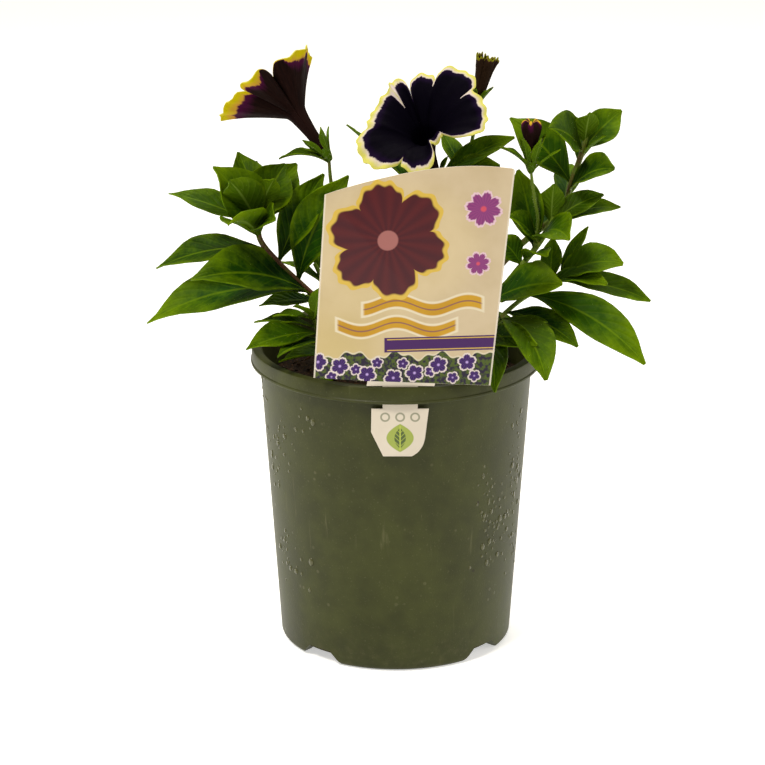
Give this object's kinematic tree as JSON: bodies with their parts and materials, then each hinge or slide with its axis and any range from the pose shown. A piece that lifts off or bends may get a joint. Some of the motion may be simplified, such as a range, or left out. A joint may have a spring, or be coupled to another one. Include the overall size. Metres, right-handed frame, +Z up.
{
  "type": "potted petunia",
  "caption": "Petunia with dark, cream-edged blooms and leafy shoots, standing in a round nursery pot with a plant tag through the rim.",
  "frame": {"origin": "on the pot's axis, on the plane that the pot stands on", "axes": "+Z up, +X to the right as seen from the tag's side, -Y towards the viewer of the tag"},
  "size_m": [0.2423, 0.1408, 0.2949],
  "materials": {
    "pot_plastic": "satin grey-green moulded plastic",
    "potting_mix": "crumbly, damp and matt",
    "printed_tag": "smooth printed sheet",
    "leaf_green": "soft green leaf with fine hairs",
    "dark_petal": "velvety near-black purple with a cream edge"
  },
  "bodies": {
    "root": {"pot": "pot_plastic", "potting_mix": "potting_mix", "plant_tag": "printed_tag", "left_shoot": "leaf_green", "left_low_shoot": "leaf_green", "left_bloom_stem": "leaf_green", "front_bloom_stem": "leaf_green", "closing_bloom_stem": "leaf_green", "right_tall_shoot": "leaf_green", "right_middle_shoot": "leaf_green", "right_low_shoot": "leaf_green", "right_front_shoot": "leaf_green", "back_left_shoot": "leaf_green", "back_shoot": "leaf_green", "back_right_shoot": "leaf_green", "left_bloom": "dark_petal", "front_bloom": "dark_petal", "closing_bloom": "dark_petal", "bud": "dark_petal"}
  },
  "joints": []
}
